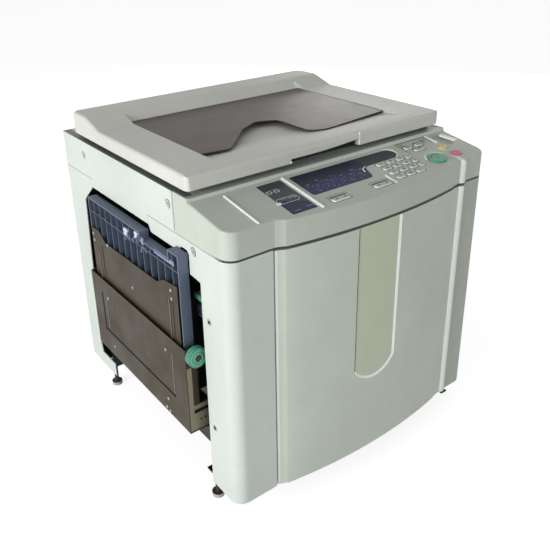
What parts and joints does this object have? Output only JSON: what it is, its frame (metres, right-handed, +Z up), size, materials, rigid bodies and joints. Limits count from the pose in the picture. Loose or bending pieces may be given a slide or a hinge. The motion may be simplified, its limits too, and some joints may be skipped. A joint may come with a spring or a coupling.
{
  "type": "digital duplicator",
  "caption": "Free-standing stencil duplicator: flatbed scanner lid, sloping key panel, bowed front door, folded paper trays on both sides, levelling feet.",
  "frame": {"origin": "on the floor under the middle of the box around the stored machine", "axes": "+Z up, -Y towards the operator at the key panel and door, +X to the operator's right, the receiving side"},
  "size_m": [0.698, 0.67, 0.702],
  "materials": {
    "cover_white": "moulded cover, very fine texture",
    "cover_grey": "moulded cover, very fine texture",
    "panel_grey": "moulded cover, very fine texture",
    "lid_grey": "moulded cover, very fine texture",
    "insert_beige": "smooth satin inlay",
    "smoked_plate": "smoked, glossy",
    "display_navy": "dark glossy window",
    "tray_blue": "ribbed moulding",
    "steel_brown": "brown baked paint",
    "frame_steel": "zinc-plated sheet steel",
    "shaft_steel": "ground shaft",
    "glass_clear": "clear platen glass",
    "foot_rubber": "black rubber and steel stem",
    "roller_rubber": "grey rubber",
    "pad_white": "white backing sheet and foam",
    "dial_teal": "teal moulding",
    "key_grey": "satin key cap",
    "key_green": "green key cap",
    "key_red": "red key cap",
    "key_yellow": "yellow key cap",
    "dark_plastic": "black moulding",
    "guide_grey": "grey moulding",
    "drum_screen": "perforated drum skin",
    "drum_blue": "blue-grey unit front",
    "bottle_black": "ink cylinder",
    "film_brown": "master film roll",
    "screw_cap": "screw cap"
  },
  "bodies": {
    "body": {"main_frame": "frame_steel", "left_front_cover": "cover_white", "left_upper_cover": "cover_white", "left_rear_cover": "cover_white", "right_front_cover": "cover_grey", "right_side_cover": "cover_white", "rear_cover": "cover_white", "scanner_base": "cover_white", "platen_glass": "glass_clear", "control_panel": "panel_grey", "panel_windows": "display_navy", "levelling_feet": "foot_rubber", "cover_screws": "screw_cap", "hinge_pins": "shaft_steel", "drum_frame": "drum_blue", "ink_bottle": "bottle_black", "drive_motor": "dark_plastic"},
    "lid": {"platen_cover": "lid_grey", "pressure_pad": "pad_white", "pocket_plate": "smoked_plate"},
    "door": {"front_door": "cover_grey", "door_insert": "insert_beige"},
    "elevator": {"feed_elevator": "frame_steel"},
    "feed_carrier": {"feed_bracket": "steel_brown"},
    "feed_table": {"feed_tray": "tray_blue", "feed_tray_plate": "steel_brown"},
    "feed_fence_front": {"feed_guide_front": "guide_grey"},
    "feed_fence_rear": {"feed_guide_rear": "guide_grey"},
    "feed_dial": {"position_dial": "dial_teal"},
    "feed_lever": {"feed_pressure_lever": "dial_teal"},
    "separation_dial": {"stripper_dial": "dial_teal"},
    "pickup": {"pickup_roller": "roller_rubber"},
    "receiving_table": {"receiving_tray": "tray_blue"},
    "receiving_fence_front": {"receiving_guide_front": "guide_grey"},
    "receiving_fence_rear": {"receiving_guide_rear": "guide_grey"},
    "stopper": {"paper_stopper": "guide_grey"},
    "drum": {"print_drum": "drum_screen"},
    "pinion": {"motor_pinion": "dark_plastic"},
    "press_arms": {"pressure_arms": "frame_steel"},
    "press_roller": {"pressure_roller": "roller_rubber"},
    "master": {"master_roll": "film_brown"},
    "waste_drawer": {"master_box": "cover_white"},
    "carriage": {"scanner_carriage": "dark_plastic"},
    "switch": {"power_switch": "dark_plastic"},
    "start": {"start_key": "key_green"},
    "stop": {"stop_key": "key_red"},
    "reset": {"reset_key": "key_yellow"},
    "functions": {"function_keys": "key_grey"},
    "number_1": {"number_key_1": "key_grey"},
    "number_2": {"number_key_2": "key_grey"},
    "number_3": {"number_key_3": "key_grey"},
    "number_4": {"number_key_4": "key_grey"},
    "number_5": {"number_key_5": "key_grey"},
    "number_6": {"number_key_6": "key_grey"},
    "number_7": {"number_key_7": "key_grey"},
    "number_8": {"number_key_8": "key_grey"},
    "number_9": {"number_key_9": "key_grey"},
    "number_10": {"number_key_10": "key_grey"},
    "number_11": {"number_key_11": "key_grey"},
    "number_12": {"number_key_12": "key_grey"}
  },
  "joints": [
    {"name": "lid_hinge", "type": "hinge", "parent": "body", "child": "lid", "pos_m": [0, 0.2915, 0.662], "axis": [-1, 0, 0], "range_deg": [0, 70]},
    {"name": "door_hinge", "type": "hinge", "parent": "body", "child": "door", "pos_m": [0.2515, -0.3095, 0.3], "axis": [0, 0, 1], "range_deg": [0, 100]},
    {"name": "feed_lift", "type": "slide", "parent": "body", "child": "elevator", "axis": [0, 0, 1], "range_m": [0, 0.1]},
    {"name": "feed_tray_fold", "type": "hinge", "parent": "elevator", "child": "feed_carrier", "pos_m": [-0.332, 0, 0.192], "axis": [0, -1, 0], "range_deg": [0, 90]},
    {"name": "feed_tray_shift", "type": "slide", "parent": "feed_carrier", "child": "feed_table", "axis": [0, 1, 0], "range_m": [-0.008, 0.008]},
    {"name": "feed_guide_front_slide", "type": "slide", "parent": "feed_table", "child": "feed_fence_front", "axis": [0, 1, 0], "range_m": [0, 0.095]},
    {"name": "feed_guide_rear_slide", "type": "slide", "parent": "feed_table", "child": "feed_fence_rear", "axis": [0, -1, 0], "range_m": [0, 0.095]},
    {"name": "position_dial_turn", "type": "hinge", "parent": "feed_carrier", "child": "feed_dial", "pos_m": [-0.329, -0.2, 0.35], "axis": [0, 1, 0], "range_deg": [-180, 180]},
    {"name": "pressure_lever_turn", "type": "hinge", "parent": "body", "child": "feed_lever", "pos_m": [-0.294, -0.2, 0.452], "axis": [0, 1, 0], "range_deg": [-20, 20]},
    {"name": "stripper_dial_turn", "type": "hinge", "parent": "body", "child": "separation_dial", "pos_m": [-0.294, -0.2, 0.262], "axis": [0, 1, 0], "range_deg": [-150, 150]},
    {"name": "pickup_spin", "type": "hinge", "parent": "body", "child": "pickup", "pos_m": [-0.222, 0, 0.318], "axis": [0, 1, 0], "continuous": true},
    {"name": "receiving_tray_fold", "type": "hinge", "parent": "body", "child": "receiving_table", "pos_m": [0.332, 0, 0.165], "axis": [0, 1, 0], "range_deg": [0, 90]},
    {"name": "receiving_guide_front_slide", "type": "slide", "parent": "receiving_table", "child": "receiving_fence_front", "axis": [0, 1, 0], "range_m": [0, 0.095]},
    {"name": "receiving_guide_rear_slide", "type": "slide", "parent": "receiving_table", "child": "receiving_fence_rear", "axis": [0, -1, 0], "range_m": [0, 0.095]},
    {"name": "stopper_slide", "type": "slide", "parent": "receiving_table", "child": "stopper", "axis": [0, 0, -1], "range_m": [0, 0.15]},
    {"name": "drum_spin", "type": "hinge", "parent": "body", "child": "drum", "pos_m": [0.03, 0, 0.4], "axis": [0, 1, 0], "continuous": true},
    {"name": "pinion_spin", "type": "hinge", "parent": "body", "child": "pinion", "pos_m": [0.11601, 0, 0.33977], "axis": [0, 1, 0], "continuous": true},
    {"name": "press_swing", "type": "hinge", "parent": "body", "child": "press_arms", "pos_m": [0.13, 0, 0.291], "axis": [0, 1, 0], "range_deg": [0, 2]},
    {"name": "press_roller_spin", "type": "hinge", "parent": "press_arms", "child": "press_roller", "pos_m": [0.03, 0, 0.291], "axis": [0, 1, 0], "continuous": true},
    {"name": "master_spin", "type": "hinge", "parent": "body", "child": "master", "pos_m": [-0.15, 0, 0.48], "axis": [0, 1, 0], "continuous": true},
    {"name": "waste_drawer_slide", "type": "slide", "parent": "body", "child": "waste_drawer", "axis": [1, 0, 0], "range_m": [0, 0.15]},
    {"name": "carriage_slide", "type": "slide", "parent": "body", "child": "carriage", "axis": [1, 0, 0], "range_m": [0, 0.54]},
    {"name": "power_switch_rock", "type": "hinge", "parent": "body", "child": "switch", "pos_m": [0.311, -0.2665, 0.48], "axis": [0, -1, 0], "range_deg": [0, 12]},
    {"name": "start_press", "type": "slide", "parent": "body", "child": "start", "axis": [0, 0.1671, -0.9859], "range_m": [0, 0.0015], "stiffness_N_per_m": 300, "springref_m": -0.001},
    {"name": "stop_press", "type": "slide", "parent": "body", "child": "stop", "axis": [0, 0.1671, -0.9859], "range_m": [0, 0.0015], "stiffness_N_per_m": 300, "springref_m": -0.001},
    {"name": "reset_press", "type": "slide", "parent": "body", "child": "reset", "axis": [0, 0.1671, -0.9859], "range_m": [0, 0.0015], "stiffness_N_per_m": 300, "springref_m": -0.001},
    {"name": "function_press", "type": "slide", "parent": "body", "child": "functions", "axis": [0, 0.1671, -0.9859], "range_m": [0, 0.0015], "stiffness_N_per_m": 300, "springref_m": -0.001},
    {"name": "number_press_1", "type": "slide", "parent": "body", "child": "number_1", "axis": [0, 0.1671, -0.9859], "range_m": [0, 0.0015], "stiffness_N_per_m": 300, "springref_m": -0.001},
    {"name": "number_press_2", "type": "slide", "parent": "body", "child": "number_2", "axis": [0, 0.1671, -0.9859], "range_m": [0, 0.0015], "stiffness_N_per_m": 300, "springref_m": -0.001},
    {"name": "number_press_3", "type": "slide", "parent": "body", "child": "number_3", "axis": [0, 0.1671, -0.9859], "range_m": [0, 0.0015], "stiffness_N_per_m": 300, "springref_m": -0.001},
    {"name": "number_press_4", "type": "slide", "parent": "body", "child": "number_4", "axis": [0, 0.1671, -0.9859], "range_m": [0, 0.0015], "stiffness_N_per_m": 300, "springref_m": -0.001},
    {"name": "number_press_5", "type": "slide", "parent": "body", "child": "number_5", "axis": [0, 0.1671, -0.9859], "range_m": [0, 0.0015], "stiffness_N_per_m": 300, "springref_m": -0.001},
    {"name": "number_press_6", "type": "slide", "parent": "body", "child": "number_6", "axis": [0, 0.1671, -0.9859], "range_m": [0, 0.0015], "stiffness_N_per_m": 300, "springref_m": -0.001},
    {"name": "number_press_7", "type": "slide", "parent": "body", "child": "number_7", "axis": [0, 0.1671, -0.9859], "range_m": [0, 0.0015], "stiffness_N_per_m": 300, "springref_m": -0.001},
    {"name": "number_press_8", "type": "slide", "parent": "body", "child": "number_8", "axis": [0, 0.1671, -0.9859], "range_m": [0, 0.0015], "stiffness_N_per_m": 300, "springref_m": -0.001},
    {"name": "number_press_9", "type": "slide", "parent": "body", "child": "number_9", "axis": [0, 0.1671, -0.9859], "range_m": [0, 0.0015], "stiffness_N_per_m": 300, "springref_m": -0.001},
    {"name": "number_press_10", "type": "slide", "parent": "body", "child": "number_10", "axis": [0, 0.1671, -0.9859], "range_m": [0, 0.0015], "stiffness_N_per_m": 300, "springref_m": -0.001},
    {"name": "number_press_11", "type": "slide", "parent": "body", "child": "number_11", "axis": [0, 0.1671, -0.9859], "range_m": [0, 0.0015], "stiffness_N_per_m": 300, "springref_m": -0.001},
    {"name": "number_press_12", "type": "slide", "parent": "body", "child": "number_12", "axis": [0, 0.1671, -0.9859], "range_m": [0, 0.0015], "stiffness_N_per_m": 300, "springref_m": -0.001}
  ],
  "couplings": [
    {"joint": "position_dial_turn", "follows": "feed_tray_shift", "rad_per_m": 392.7},
    {"joint": "feed_guide_rear_slide", "follows": "feed_guide_front_slide", "ratio": 1},
    {"joint": "receiving_guide_rear_slide", "follows": "receiving_guide_front_slide", "ratio": 1},
    {"joint": "pinion_spin", "follows": "drum_spin", "ratio": -4}
  ]
}
